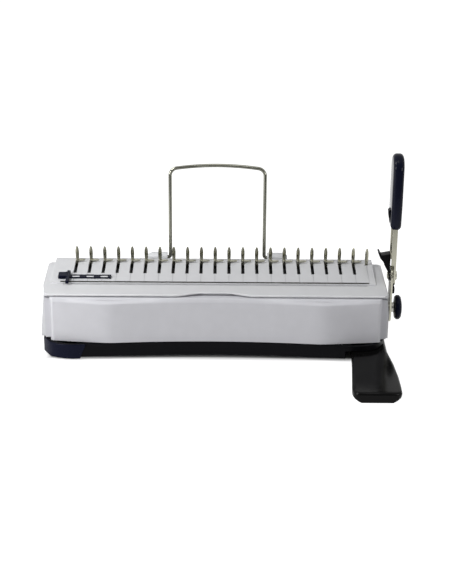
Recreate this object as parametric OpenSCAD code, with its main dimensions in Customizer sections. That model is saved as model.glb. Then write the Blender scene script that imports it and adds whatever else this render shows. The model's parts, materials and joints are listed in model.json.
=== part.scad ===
// Comb punching and binding machine with a side handle.
// Machine axes: +X to the right, +Y to the back, +Z up from the table.
// X = 0 is the middle of the hole row, Y = 0 is the row of prongs.

/* [Holes] */
// Distance from one hole to the next (nine sixteenths of an inch)
hole_pitch = 14.2875; // [12:0.0125:15]
// Number of holes in the row
hole_count = 21; // [15:2:23]
// Length of a hole along the paper's edge
hole_w = 8; // [5:0.5:9]
// Height of a hole across the paper's edge
hole_h = 3; // [2:0.5:4]
// Paper edge to the middle of the hole
hole_margin = 4.5; // [3.5:0.5:5]
// Width of the slot that takes the paper
paper_gap = 2; // [1:0.1:2.4]
// How far the punch pins travel
punch_travel = 7; // [6:0.5:8]

/* [Body] */
// Height of the hook deck above the table at the prongs
deck_z = 74; // [73:0.5:90]
// Slope of the hook deck, rising to the back
deck_slope = 5.5; // [3:0.5:7]
// Thickness of the hook deck
deck_t = 3; // [2.5:0.5:3]
// Prong row to the front lip of the cover
front_y = 74.5; // [73:0.5:80]
// Prong row to the back wall of the cover
back_y = 77; // [72:1:90]
// Last hole to the outside of the cover, at each end
end_room = 32.1; // [31.5:0.5:40]
// Wall thickness of the mouldings
wall = 2.5; // [2:0.25:3]
// Height of the base pan's rim
base_top = 17; // [16.5:0.5:18]
// Gap under the base pan
base_gap = 3; // [2.5:0.5:4]
// Clearance between pieces that slide or lie side by side
gap = 0.4; // [0.3:0.05:0.5]

/* [Comb opener] */
// Height of a prong above the deck
prong_h = 16; // [10:0.5:20]
// Width of a prong at its widest
prong_w = 2.8; // [2:0.1:3]
// Length of a hook's finger
hook_l = 8.4; // [6:0.2:9]
// Thickness of the hook plate and hooks
hook_t = 2; // [1.6:0.1:2]
// How far the hooks pull the comb open
hook_travel = 15.5; // [14:0.5:15.5]

/* [Handle] */
// Turn of the handle from upright to fully pulled
handle_angle = 80; // [70:1:85]
// Prong row to the handle shaft, towards the front
shaft_y = 45; // [44:0.5:46]
// Height of the handle shaft
shaft_z = 43.9; // [43.5:0.1:44.5]
// Diameter of the handle shaft
shaft_d = 10; // [9:0.5:10]
// Shaft to the folding bolt
crank_l = 34.8; // [34:0.2:40]
// Shaft to the top of the grip
handle_l = 162; // [140:1:200]
// Width of the handle bar
bar_w = 20; // [16:0.5:22]
// Thickness of the crank strip
strip_t = 2; // [1.5:0.1:2]
// Width of the grip from front to back
grip_w = 28; // [24:1:34]
// Thickness of the grip
grip_t = 10.8; // [9.6:0.2:11]
// Length of the grip
grip_l = 75; // [60:1:80]
// Diameter of the knob
knob_d = 25; // [20:0.5:30]

/* [Paper support] */
// Diameter of the support wire
wire_d = 3.7; // [3:0.1:4]
// Distance between the two legs of the wire
wire_w = 98; // [80:1:120]
// Height of the wire above its hinge
wire_h = 98.8; // [80:1:120]
// Backward lean of the wire
wire_lean = 4; // [0:1:10]

/* [Stabiliser foot] */
// Front lip of the cover to the front of the foot
foot_reach = 101; // [90:1:110]
// Height of the foot
foot_h = 11; // [8:0.5:11.5]
// Width of the foot where it leaves the base
foot_root_w = 36; // [34:1:40]
// Width of the foot at its widest
foot_end_w = 47.5; // [40:0.5:48]

/* [Hidden] */

// Smoothness of visible round forms, and of small ones
fine = 64;
small = 32;
// A cut runs this far past the face it opens
eps = 0.5;
// Radial running clearance of a shaft, and of a plain fit
run_fit = 0.05;

// Colours
silver = [0.80, 0.81, 0.84];
navy = [0.06, 0.07, 0.16];
black = [0.07, 0.07, 0.08];
steel = [0.70, 0.69, 0.66];
dark_steel = [0.45, 0.45, 0.46];
grey = [0.50, 0.51, 0.53];
brass = [0.72, 0.58, 0.32];

// Hole row and body widths
row_half = hole_pitch * (hole_count - 1) / 2;
hole_x = [for (i = [0 : hole_count - 1]) i * hole_pitch - row_half];
half_w = row_half + end_room;
top_half_w = half_w - 2.4;
base_half_w = half_w - 3.5;

// Paper slot and plates
slot_y = front_y - 26;
slot_half = row_half + 10.6;
gate_back = slot_y - paper_gap / 2;
gate_front = slot_y + paper_gap / 2;
die_t = 6;
guide_t = 4.5;
hole_z = 58;
stop_z = hole_z - hole_margin;
plate_z = hole_z - 7.5;
plate_top = hole_z + 6.9;
frame_in = row_half + hole_w - 0.1;
frame_t = 2.5;

// Side by side along the shaft, outwards from the frames
ecc_in = frame_in + frame_t + 1;
ecc_t = 2.8;
arm_in = ecc_in + ecc_t + 1.1;
arm_t = 2;
hook_crank_in = arm_in + arm_t + 0.7;
hook_crank_t = 2.5;

// Drives: an eccentric in a window gives travel = 2 e sin(angle / 2)
half_turn = handle_angle / 2;
ecc_e = punch_travel / (2 * sin(half_turn));
ecc_r = shaft_d / 2 + ecc_e + 0.6;
hook_r = hook_travel / (2 * sin(half_turn));
hook_pin_r = 2;
// The hook pin's slot also takes the eccentric motion's departure from a straight line
hook_slot_play = 0.75;

// Deck frame: the shaft seen from the sloping deck
shaft_dy = -shaft_y * cos(deck_slope) + (shaft_z - deck_z) * sin(deck_slope);
shaft_dz = shaft_y * sin(deck_slope) + (shaft_z - deck_z) * cos(deck_slope);
pin_dy = shaft_dy + hook_r * sin(half_turn);
pin_low = shaft_dz + hook_r * cos(half_turn);
pin_high = shaft_dz + hook_r;

// Deck outline in its own frame
deck_half = row_half + 17.1;
deck_back = 9;
deck_front = -gate_back * cos(deck_slope) - 0.4;
slot_len = hook_travel + 10.7;
slot_w = 3.3;
prong_y = 2;
prong_d = 2.2;
strip_top = -deck_t - 0.05;
strip_th = 1.1;
rack_top = -deck_t - 3;
rack_back = 5;
rack_w = 21;
opening_half = row_half + 12.2;

// Cover profile
cover_front_z = 68;
cover_rise = (deck_z + deck_back * tan(deck_slope) - deck_t - cover_front_z) / (50 + deck_back);
function cover_z(y) = cover_front_z + (y + 50) * cover_rise;
end_front = front_y - 11.5;
notch_half = 37;
notch_h = 1.3;
notch_r = (notch_half * notch_half + notch_h * notch_h) / (2 * notch_h);
lip_z = cover_front_z - 3.5;
lip_r = 8;
// The back slope of the cover, from the deck down to the back wall
slope_top = 3;
slope_end = [back_y - 11, 40];

// Front panel outline: a shallow hollow between two forward bends, and angled ends
panel_half = half_w - 8.3;
bend_x = row_half * 0.77;
panel_mid = front_y + 0.2;
bow_out = 5.7;
facet_back = 6;
panel_t = 3;
panel_low = base_top + 0.4;
panel_high = lip_z - 0.5;
bevel_h = 5.8;
function bow(x) = let (a = abs(x)) a < bend_x
    ? panel_mid + bow_out * pow(a / bend_x, 2)
    : panel_mid + bow_out - facet_back * pow((a - bend_x) / (panel_half - bend_x), 1.15);

// Base pan outline: as the panel, with full round front corners
block_x = bend_x + 30;
function base_front(x) = let (a = abs(x)) a < bend_x
    ? front_y + 0.5 + 6 * pow(a / bend_x, 2)
    : a < block_x
    ? front_y + 6.5 + 2 * (a - bend_x) / (block_x - bend_x)
    : front_y - 11.5 + 20 * sqrt(max(0, 1 - pow((a - block_x) / (base_half_w - block_x), 2)));

// Stabiliser foot and its channel
foot_x = half_w - 19.5;
foot_front = front_y + foot_reach;
foot_slide = 80;
channel_in = foot_x - foot_end_w / 2 - gap;
channel_top = foot_h + gap;
shelf_top = channel_top + 2;
tongue_back = -12;

// Chip tray
tray_half = frame_in - 1.3;
tray_back = 2;
tray_top = 32;
tray_wall = 1.6;

// Handle, outwards along X
strip_in = half_w + 1.4;
strip_out = strip_in + strip_t;
arm_out = strip_out + gap - 0.1 + 2.1;
bolt_z = shaft_z + crank_l;
arm_low = bolt_z + 14;
grip_top = shaft_z + handle_l;
grip_low = grip_top - grip_l;
grip_mid = (strip_in + strip_out) / 2 + 1.1;
grip_in = grip_mid - grip_t / 2;
latch_w = 10.4;
knob_in = arm_out + 0.4;
knob_t = 8.6;

// Paper support wire
wire_y = 20;
wire_z = deck_z - 2.5;
wire_x = 2;
wire_r = wire_d / 2;
hump_r = 5.4;
wire_bend = 3;
wire_corner = 8;
arch_a = 8.1;
hump_in = wire_w / 2 + wire_bend + 0.2;
hump_len = 21;

// Whole footprint: its middle is the part's origin
frame_x = (knob_in + knob_t - half_w) / 2;
frame_y = (back_y - foot_front) / 2;

module placed() {
    translate([-frame_x, -frame_y, 0]) children();
}

module in_deck() {
    translate([0, 0, deck_z]) rotate([deck_slope, 0, 0]) children();
}

// A box given by its lowest and highest corners
module box(low, high) {
    translate(low) cube(high - low);
}

// A cylinder along +X that starts at x
module rod_x(x, len, r) {
    translate([x, 0, 0]) rotate([0, 90, 0]) cylinder(h = len, r = r, $fn = fine);
}

// A plate across X with its outline given as [y, z] points
module plate_x(x, t, outline) {
    translate([x, 0, 0]) rotate([90, 0, 90]) linear_extrude(t) polygon(outline);
}

// Sections of equal point count, one after another along X, joined into one solid
module loft(sections) {
    n = len(sections[0]);
    m = len(sections);
    points = [for (s = sections) each s];
    sides = [for (i = [0 : m - 2]) for (j = [0 : n - 1]) let (k = (j + 1) % n)
        each [[i * n + j, i * n + k, (i + 1) * n + k], [i * n + j, (i + 1) * n + k, (i + 1) * n + j]]];
    first = [[for (j = [n - 1 : -1 : 0]) j]];
    last = [[for (j = [0 : n - 1]) (m - 1) * n + j]];
    polyhedron(points = points, faces = concat(sides, first, last));
}

// Even steps from a to b
function steps(a, b, n) = [for (i = [0 : n]) a + (b - a) * i / n];

// ---- Base ----

module base_outline(inset = 0) {
    xs = steps(-base_half_w + inset, base_half_w - inset, 46);
    polygon(concat([for (x = xs) [x, -base_front(x * base_half_w / (base_half_w - inset)) + inset]],
        [[base_half_w - inset, back_y - 9], [base_half_w - 6, back_y - 3 - inset],
         [-base_half_w + 6, back_y - 3 - inset], [-base_half_w + inset, back_y - 9]]));
}

module base_pan() color(black) placed() {
    difference() {
        translate([0, 0, base_gap]) linear_extrude(base_top - base_gap) base_outline();
        translate([0, 0, base_gap + wall - 0.5]) linear_extrude(base_top) base_outline(wall);
        // mouth and side opening of the foot channel
        box([channel_in, -front_y - 30, -eps], [half_w + 20, back_y - 3 - wall, channel_top]);
    }
    // roof and inner wall of the foot channel
    difference() {
        translate([0, 0, channel_top]) linear_extrude(2) base_outline(wall - 0.1);
        box([-half_w, -front_y - 30, 0], [channel_in - 2, back_y, base_top]);
    }
    box([channel_in - 2, -front_y - 4, base_gap + wall - 1], [channel_in, back_y - 5, shelf_top]);
    // shelf under the left frame
    box([-frame_in - frame_t - 3, -62, base_gap + wall - 1], [-frame_in + 3, 21, shelf_top]);
    // runners under the chip tray
    for (x = [-100, 0, 100]) {
        box([x - 1.5, -64, base_gap + wall - 1], [x + 1.5, tray_back, base_top]);
    }
    // bosses that take the cover screws
    intersection() {
        translate([0, 0, channel_top]) linear_extrude(base_top - channel_top) base_outline();
        for (p = cover_screw_points) {
            translate([p[0], p[1], channel_top]) difference() {
                cylinder(h = 8, r = 4.5, $fn = small);
                translate([0, 0, 2]) cylinder(h = 8, r = 1.3, $fn = small);
            }
        }
    }
    // bosses of the rubber feet
    for (p = foot_points) {
        translate([p[0], p[1], base_gap]) cylinder(h = 8, r = 7, $fn = small);
    }
}

foot_points = [[-base_half_w + 16, -50], [-base_half_w + 16, back_y - 18],
    [channel_in - 12, -60], [channel_in - 12, back_y - 18]];

module rubber_feet() color(black) placed() {
    for (p = foot_points) {
        translate([p[0], p[1], 0]) cylinder(h = base_gap, r = 8, $fn = small);
    }
}

// Coloured block over the left front corner of the base
module corner_block() color(navy) placed() {
    end_x = -bend_x - 13;
    difference() {
        translate([0, 0, base_gap - 1.5]) linear_extrude(base_top - base_gap + 1.3) intersection() {
            offset_front(0.9);
            translate([-half_w, -half_w]) square([half_w + end_x, half_w - 40]);
        }
        translate([0, 0, -eps]) linear_extrude(base_top + 2) base_outline();
        // inner end slopes back to the bottom
        translate([end_x, 0, 0]) rotate([90, 0, 0]) linear_extrude(half_w)
            polygon([[eps, base_top + 1], [-7, -eps], [eps, -eps]]);
    }
}

module offset_front(grow) {
    xs = steps(-base_half_w, base_half_w, 46);
    polygon(concat([[-base_half_w - grow, -front_y + 12]],
        [for (x = xs) [x * (base_half_w + grow) / base_half_w, -base_front(x) - grow]],
        [[base_half_w + grow, -front_y + 12], [base_half_w, 0], [-base_half_w - grow, 0]]));
}

// ---- Cover ----

// Side view of the cover behind the deck, t inside its outer skin
function cover_back(t) = [
    [slope_top, cover_z(slope_top) - t], [slope_end[0] - t * 0.4, slope_end[1] - t],
    [back_y - 3 - t * 0.8, slope_end[1] - 7 - t * 0.8], [back_y - t, slope_end[1] - 14],
    [back_y - t, base_top + (t > 0 ? -eps : 0.4)]];

// The outside with its front lip, and the hollow, which stops behind the lip
cover_outer = concat([
    [-end_front, base_top + 0.4], [-end_front, lip_z - 3], [-front_y, lip_z],
    [-front_y, cover_z(-front_y) - 0.8], [-front_y + 1.2, cover_z(-front_y)]], cover_back(0));
function cover_inner(t) = concat([
    [-end_front + t, base_top - eps], [-end_front + t, cover_z(-end_front + t) - t]], cover_back(t));

// End view of the cover, t inside its outer skin: upright below, drawn in at the top right
function cover_end(t) = let (w = half_w - t, h = cover_front_z - t) [
    [-w, 0], [-w, h - 5], [-w + 1.2, h], [-w + 1.8, h + 25], [w - 9, h + 25], [w - 9, h + 5],
    [w - 6.2, h + 2.8], [w - 4, h + 1], [w - 2.1, h - 1], [w - 2, h - 7], [w, h - 24], [w, 0]];

// Half-space that takes off a back corner of the cover, t inside its outer skin
module corner_cut(x, y, turn, tilt, t) {
    translate([x, y, cover_front_z + 6.5]) rotate([0, 0, turn]) rotate([0, -tilt, 0])
        translate([-t, -60, -60]) cube([80, 120, 120]);
}

module cover_solid(t) {
    difference() {
        intersection() {
            plate_x(-half_w - 5, 2 * half_w + 10, t > 0 ? cover_inner(t) : cover_outer);
            translate([0, half_w, 0]) rotate([90, 0, 0]) linear_extrude(2 * half_w) polygon(cover_end(t));
        }
        corner_cut(-half_w + 12, 4, 139, 60, t);
        corner_cut(half_w - 13, 4, 36, 60, t);
    }
}

module hump(x, dir) {
    // half-round lug with a sloped outer end, standing on the back slope
    translate([x, wire_y, wire_z]) difference() {
        union() {
            rod_x(dir > 0 ? 0 : -hump_len + 5, hump_len - 5, hump_r);
            translate([dir > 0 ? 0 : -hump_len + 5, -hump_r, -12]) cube([hump_len - 5, 2 * hump_r, 12]);
            translate([dir * (hump_len - 5), 0, 0]) rotate([0, dir * 90, 0])
                cylinder(h = 5, r1 = hump_r, r2 = hump_r * 0.55, $fn = fine);
        }
        rod_x(dir > 0 ? -eps : -hump_len + 5, hump_len - 5 + eps, wire_r + run_fit);
    }
}

module cover() color(silver) placed() difference() {
    union() {
        difference() {
            cover_solid(0);
            cover_solid(wall);
        }
        // raised frame that carries the deck's back edge
        in_deck() box([-deck_half - 0.6, -4, -8], [deck_half + 0.6, deck_back + 0.6, -deck_t]);
        difference() {
            union() {
                hump(wire_x - hump_in, -1);
                hump(wire_x + hump_in, 1);
            }
            cover_solid(wall * 0.5);
        }
        // bosses for the cover screws
        for (p = cover_screw_points) {
            translate([p[0], p[1], base_top + 0.4]) difference() {
                cylinder(h = 14, r = 6.3, $fn = small);
                translate([0, 0, -eps]) cylinder(h = 12, r = 1.3, $fn = small);
            }
        }
    }
    // seat of the hook deck, and the opening below it
    in_deck() box([-deck_half - 0.3, deck_front - 0.4, -deck_t], [deck_half + 0.3, deck_back + 0.3, 20]);
    in_deck() box([-opening_half, deck_front - 0.4, -12], [opening_half, deck_back - 2.2, 1]);
    in_deck() box([row_half, -8, -12], [last_x + 3.4, deck_back - 2.2, 1]);
    // room for the ends of the hook plate
    in_deck() box([-arm_in - arm_t - gap, deck_front - 0.4, -12], [arm_in + arm_t + gap, rack_back + gap, rack_top + gap]);
    // paper slot
    in_deck() box([-slot_half, -gate_front, -12], [slot_half, deck_front, 20]);
    // front opening for the drawer front
    box([-panel_half - 0.6, -front_y - 9, -eps], [panel_half + 0.6, -end_front + 12, panel_high + 0.4]);
    // finger notch in the front lip
    translate([0, -front_y - eps, lip_z - notch_r + notch_h]) rotate([-90, 0, 0])
        cylinder(h = 9, r = notch_r, $fn = 360);
    // rounded front corners of the lip
    for (side = [-1, 1]) {
        translate([side * (half_w - lip_r), -front_y + lip_r, lip_z - 4]) rotate([0, 0, side > 0 ? 0 : -90])
            linear_extrude(12) difference() {
                translate([0, -lip_r - 3]) square([lip_r + 3, lip_r + 3]);
                circle(lip_r, $fn = small);
            }
    }
    // handle shaft
    translate([0, -shaft_y, shaft_z]) rod_x(half_w - 6, 12, shaft_d / 2 + 0.8);
}

cover_screw_points = [for (x = [-half_w + 8.5, half_w - 8.5]) for (y = [8, back_y - 12]) [x, y]];

module cover_screws() color(dark_steel) placed() {
    for (p = cover_screw_points) {
        translate([p[0], p[1], shelf_top + 0.1]) cylinder(h = 14, r = 1.25, $fn = small);
    }
}

// ---- Hook deck and comb ----

module hook_deck() color(silver) placed() in_deck() difference() {
    union() {
        box([-deck_half, deck_front, -deck_t], [deck_half, deck_back - 1.5, 0]);
        translate([-deck_half, deck_back - 1.5, -1.5]) rod_x(0, 2 * deck_half, 1.5);
        box([-deck_half, deck_back - 3, -deck_t], [deck_half, deck_back, -1.5]);
    }
    for (x = hole_x) {
        box([x - slot_w / 2, -slot_len, -deck_t - eps], [x + slot_w / 2, prong_y + prong_d + 0.3, eps]);
    }
    // hidden slot of the edge guide
    box([rail_x + 1.6, -rail_stem - 0.7, -deck_t - eps], [rail_x + 10.4 + guide_travel, -rail_stem + 0.7, eps]);
    box([last_x - slot_w / 2, -5.3, -deck_t - eps], [last_x + slot_w / 2, -4.7 + prong_d, eps]);
}

// Leaf-shaped blade that stands on the strip, narrow at its foot
module prong(x, y, h) {
    half = prong_w / 2;
    translate([x, y + prong_d, strip_top]) rotate([90, 0, 0]) linear_extrude(prong_d) polygon([
        [-half * 0.75, 0], [half * 0.75, 0], [half * 0.75, -strip_top + 1], [half, -strip_top + h * 0.4],
        [half, -strip_top + h * 0.65], [half * 0.7, -strip_top + h * 0.86],
        [half * 0.25, -strip_top + h], [-half * 0.25, -strip_top + h],
        [-half * 0.7, -strip_top + h * 0.86], [-half, -strip_top + h * 0.65],
        [-half, -strip_top + h * 0.4], [-half * 0.75, -strip_top + 1]]);
}

last_x = row_half + hole_pitch - 1;
// The last prong stands further forward, and higher
last_extra = 2.7;
module prongs() color(steel) placed() in_deck() {
    for (x = hole_x) {
        prong(x, prong_y, prong_h);
    }
    prong(last_x, -5, prong_h + last_extra);
}

module prong_strip() color(steel) placed() in_deck() {
    box([-row_half - 5, prong_y - 0.8, strip_top - strip_th], [last_x + 3, prong_y + prong_d + 1, strip_top]);
    box([last_x - 2.5, -5.5, strip_top - strip_th], [last_x + 3, prong_y, strip_top]);
}

module hook(x) {
    // upright stem, then a tapered finger to the right
    box([x - hook_t / 2 + 0.1, -3.2, rack_top], [x + hook_t / 2 - 0.1, 0.8, 3.2]);
    translate([x, 0, 1.4]) linear_extrude(1.8) polygon([
        [-hook_t / 2 + 0.1, -3.2], [hook_l * 0.55, -3], [hook_l, -1.7], [hook_l, -1], [hook_t / 2, -0.4],
        [hook_t / 2, 0.8], [-hook_t / 2 + 0.1, 0.8]]);
}

module hooks() color(steel) placed() in_deck() {
    for (x = hole_x) {
        hook(x);
    }
}

module hook_plate() color(dark_steel) placed() in_deck() {
    box([-arm_in - arm_t, rack_back - rack_w, rack_top - hook_t], [arm_in + arm_t, rack_back, rack_top]);
}

// Side arms of the hook plate: an upright slot in each takes the pin of a hook crank
module rack_arms() color(dark_steel) placed() in_deck() {
    low = pin_low - hook_pin_r - gap;
    arm_top = rack_top - hook_t;
    for (x = [-arm_in - arm_t, arm_in]) {
        difference() {
            plate_x(x, arm_t, [
                [pin_dy - 5.2, low - 1.3], [pin_dy + 5.4, low - 1.3], [pin_dy + 7, arm_top - 4],
                [rack_back - 8, arm_top - 4], [rack_back - 4, arm_top - 1], [rack_back - 4, arm_top],
                [rack_back - rack_w - 0.3, arm_top], [rack_back - rack_w - 2, rack_top + 0.6],
                [pin_dy - 4, rack_top + 0.6], [pin_dy - 5.2, rack_top - 0.6]]);
            box([x - eps, pin_dy - hook_pin_r - hook_slot_play, low],
                [x + arm_t + eps, pin_dy + hook_pin_r + hook_slot_play, pin_high + hook_pin_r + gap]);
        }
    }
}

// ---- Frames and punching plates ----

module frame_plate(x) {
    difference() {
        plate_x(x, frame_t, [
            [-62, shelf_top], [21, shelf_top], [21, 30], [-33, 36], [-33, 54.3],
            [-gate_back + guide_t + 0.4, 54.3], [-gate_back + guide_t + 0.4, plate_top],
            [-gate_front - die_t - 0.5, plate_top], [-58.5, 50], [-62, 40]]);
        translate([0, -shaft_y, shaft_z]) rod_x(x - eps, frame_t + 2 * eps, shaft_d / 2 + 2.52);
    }
}

module frame_left() color(dark_steel) placed() frame_plate(-frame_in - frame_t);

module frame_right() color(dark_steel) placed() frame_plate(frame_in);

module bush(x, dir) {
    translate([0, -shaft_y, shaft_z]) difference() {
        union() {
            rod_x(dir > 0 ? x : x - frame_t, frame_t, shaft_d / 2 + 2.5);
            rod_x(dir > 0 ? x + frame_t : x - frame_t - 0.7, 0.7, shaft_d / 2 + 3.3);
        }
        rod_x(x - 10, 20, shaft_d / 2 + run_fit);
    }
}

module bush_left() color(brass) placed() bush(-frame_in, -1);

module bush_right() color(brass) placed() bush(frame_in, 1);

module punched_plate(y, t, clearance) {
    difference() {
        box([-frame_in, y, plate_z], [frame_in, y + t, plate_top]);
        for (x = hole_x) {
            box([x - hole_w / 2 - clearance, y - eps, hole_z - hole_h / 2 - clearance],
                [x + hole_w / 2 + clearance, y + t + eps, hole_z + hole_h / 2 + clearance]);
        }
    }
}

module die_plate() color(steel) placed() punched_plate(-gate_front - die_t, die_t, 0.1);

module guide_plate() color(dark_steel) placed() punched_plate(-gate_back, guide_t, 0.1);

module paper_stop() color(black) placed() {
    box([-frame_in, -gate_front, plate_z], [frame_in, -gate_back, stop_z]);
}

// Bar between the frames, with an upright for each return spring
module tie_bar() color(dark_steel) placed() {
    box([-frame_in, 8, base_top + 0.2], [frame_in, tie_y + 2, base_top + 2.2]);
    for (x = spring_x) {
        box([x - 6, tie_y, base_top + 2], [x + 6, tie_y + 2, spring_z + 3.4]);
    }
}

// Close-wound spring seen as a ribbed barrel, along +Z
module coil(len, r, wire) {
    turns = floor(len / wire);
    rotate_extrude($fn = small) polygon(concat([[0, 0]],
        [for (i = [0 : turns - 1]) each [[r - wire / 2, i * wire], [r, (i + 0.5) * wire]]],
        [[r - wire / 2, turns * wire], [0, turns * wire]]));
}

beam_back = 24;
beam_low = hole_z - 2.7;
beam_high = hole_z + 3.8;
spring_x = [-125, 125];
spring_z = hole_z - 1.4;
tie_y = 17;
module return_springs() color(steel) placed() {
    for (x = spring_x) {
        translate([x, -beam_back + 0.15, spring_z]) rotate([-90, 0, 0]) coil(tie_y + beam_back - 0.3, 3, 1);
    }
}

module frame_screws() color(steel) placed() {
    for (s = [-1, 1]) for (z = [plate_z + 3.4, plate_top - 3]) {
        translate([0, -gate_front - die_t / 2, z]) rod_x(s > 0 ? frame_in + frame_t : -frame_in - frame_t - 0.8, 0.8, 2.4);
    }
}

// ---- Punch ----

module punch_pins() color(steel) placed() {
    for (x = hole_x) {
        box([x - hole_w / 2, -gate_back + 0.6, hole_z - hole_h / 2], [x + hole_w / 2, -beam_back - 10, hole_z + hole_h / 2]);
    }
}

module punch_beam() color(dark_steel) placed() {
    box([-ecc_in + 0.3, -beam_back - 10, beam_low], [ecc_in - 0.3, -beam_back, beam_high]);
}

// End plates of the beam: each surrounds one eccentric
module yoke_plates() color(dark_steel) placed() {
    ecc_y = -shaft_y + ecc_e * sin(half_turn);
    win_low = shaft_z + ecc_e * cos(half_turn) - ecc_r - gap;
    win_high = shaft_z + ecc_e + ecc_r + 0.3;
    for (s = [-1, 1]) mirror([s < 0 ? 1 : 0, 0, 0]) {
        difference() {
            box([ecc_in + 0.1, ecc_y - ecc_r - gap - 3, win_low - 2.6], [ecc_in + ecc_t - 0.1, -beam_back, win_high + 1.6]);
            box([ecc_in - eps, ecc_y - ecc_r - gap, win_low], [ecc_in + ecc_t + eps, ecc_y + ecc_r + gap, win_high]);
        }
        // lug that joins the plate to the beam's end
        box([ecc_in - 0.3, ecc_y + ecc_r + gap + 0.4, beam_low], [ecc_in + 0.1, -beam_back, beam_high]);
    }
}

// ---- Handle shaft ----

module main_shaft() color(steel) placed() translate([0, -shaft_y, shaft_z]) {
    rod_x(-hook_crank_in - hook_crank_t - 1.5, hook_crank_in + hook_crank_t + 1.5 + knob_in + 4, shaft_d / 2);
}

module eccentrics() color(steel) placed() translate([0, -shaft_y, shaft_z]) {
    for (s = [-1, 1]) {
        x = s > 0 ? ecc_in : -ecc_in - ecc_t;
        difference() {
            translate([0, ecc_e * sin(half_turn), ecc_e * cos(half_turn)]) rod_x(x, ecc_t, ecc_r);
            rod_x(x - eps, ecc_t + 2 * eps, shaft_d / 2 + 0.02);
        }
    }
}

module hook_cranks() color(steel) placed() translate([0, -shaft_y, shaft_z]) {
    turn = half_turn - deck_slope;
    for (s = [-1, 1]) {
        x = s > 0 ? hook_crank_in : -hook_crank_in - hook_crank_t;
        difference() {
            union() {
                rod_x(x, hook_crank_t, shaft_d / 2 + 3);
                rotate([-turn, 0, 0]) translate([0, 0, hook_r]) rod_x(x, hook_crank_t, hook_pin_r + 1.6);
                rotate([-turn, 0, 0]) translate([x, -hook_pin_r - 1.6, 0]) cube([hook_crank_t, 2 * hook_pin_r + 3.2, hook_r]);
                rotate([-turn, 0, 0]) translate([0, 0, hook_r])
                    rod_x(s > 0 ? arm_in - 0.4 : -arm_in - arm_t - 0.7, arm_t + 1.1, hook_pin_r);
            }
            rod_x(x - eps, hook_crank_t + 2 * eps, shaft_d / 2 + 0.02);
        }
    }
}

// ---- Handle ----

module strip_shape(x, t, low, high, w) {
    hull() {
        translate([0, -shaft_y, low + w / 2]) rod_x(x, t, w / 2);
        translate([0, -shaft_y, high - w / 2]) rod_x(x, t, w / 2);
    }
}

module bar_shape(x, t, low, high, w) {
    translate([0, -shaft_y, low]) rod_x(x, t, w / 2);
    translate([0, -shaft_y, high]) rod_x(x, t, w / 2);
    box([x, -shaft_y - w / 2, low], [x + t, -shaft_y + w / 2, high]);
}

module crank_strip() color(steel) placed() difference() {
    bar_shape(strip_in, strip_t, shaft_z - 5, bolt_z, bar_w);
    translate([0, -shaft_y, shaft_z]) rod_x(strip_in - eps, strip_t + 2 * eps, shaft_d / 2 + 0.02);
    translate([0, -shaft_y, bolt_z]) rod_x(strip_in - eps, strip_t + 2 * eps, 3.02);
}

module fold_stop() color(black) placed() {
    plate_x(strip_out, 2.6, [
        [-shaft_y - 5, bolt_z - 18], [-shaft_y + 5, bolt_z - 18], [-shaft_y + 7, bolt_z - 12.5],
        [-shaft_y + 4, bolt_z - 11], [-shaft_y - 4, bolt_z - 11], [-shaft_y - 7, bolt_z - 12.5]]);
}

module cross_bolt() color(steel) placed() translate([0, -shaft_y, bolt_z]) {
    rod_x(strip_in - 2.9, arm_out - strip_in + 2.9, 3);
    rod_x(arm_out, 2, 4.6);
    rod_x(strip_in - 3.05, 1.2, 3.6);
}

module lever_arm() color(steel) placed() {
    tongue_in = strip_out + gap - 0.1;
    difference() {
        bar_shape(tongue_in, arm_out - tongue_in, bolt_z, arm_low, bar_w);
        translate([0, -shaft_y, bolt_z]) rod_x(tongue_in - eps, 6, 3 + run_fit);
    }
    // channel, open to the inside, above the joint
    difference() {
        box([strip_in - 0.5, -shaft_y - bar_w / 2, arm_low], [arm_out, -shaft_y + bar_w / 2, grip_low + 12]);
        box([strip_in - 1, -shaft_y - bar_w / 2 + 1.6, arm_low - eps], [arm_out - 1.8, -shaft_y + bar_w / 2 - 1.6, grip_low + 20]);
    }
}

// Rounded side outline of the grip as [y, z] points
function grip_outline(inset) = let (w = grip_w / 2 - inset, r = grip_w / 2 - inset) concat(
    [[-w * 0.72, grip_low + inset], [w * 0.72, grip_low + inset], [w * 0.86, grip_low + 6], [w, grip_low + 22]],
    [for (a = [0 : 15 : 180]) [r * cos(a), grip_top - grip_w / 2 + r * sin(a)]],
    [[-w, grip_low + 22], [-w * 0.86, grip_low + 6]]);

module grip_shell() color(navy) placed() translate([0, -shaft_y, 0]) difference() {
    hull() {
        plate_x(grip_in + 2.4, grip_t - 4.8, grip_outline(0));
        plate_x(grip_in, grip_t, grip_outline(2.2));
    }
    // pocket for the bar
    box([strip_in - 0.6, -bar_w / 2 - 0.1, grip_low - 1], [arm_out + 0.1, bar_w / 2 + 0.1, grip_low + 12.1]);
    // recess of the inlay
    plate_x(grip_in - 1, 1.8, inlay_outline(0.2));
}

function inlay_outline(grow) = let (w = grip_w / 2 - 5 + grow) concat(
    [[-w * 0.8, grip_low + 3 - grow], [w * 0.8, grip_low + 3 - grow], [w, grip_low + 24]],
    [for (a = [0 : 30 : 180]) [w * cos(a), grip_top - grip_w / 2 + w * sin(a)]],
    [[-w, grip_low + 24]]);

module grip_inlay() color(grey) placed() translate([0, -shaft_y, 0]) {
    plate_x(grip_in + 0.1, 0.7, inlay_outline(0));
}

module arm_clip() color(black) placed() {
    translate([0, -shaft_y + 4, 0]) rotate([90, 0, 0]) linear_extrude(8) polygon([
        [grip_in + 0.1, grip_low + 3.5], [grip_in + 0.1, grip_low + 19], [grip_in - 2, grip_low + 17],
        [grip_in - 1.6, grip_low + 12]]);
}

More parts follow.
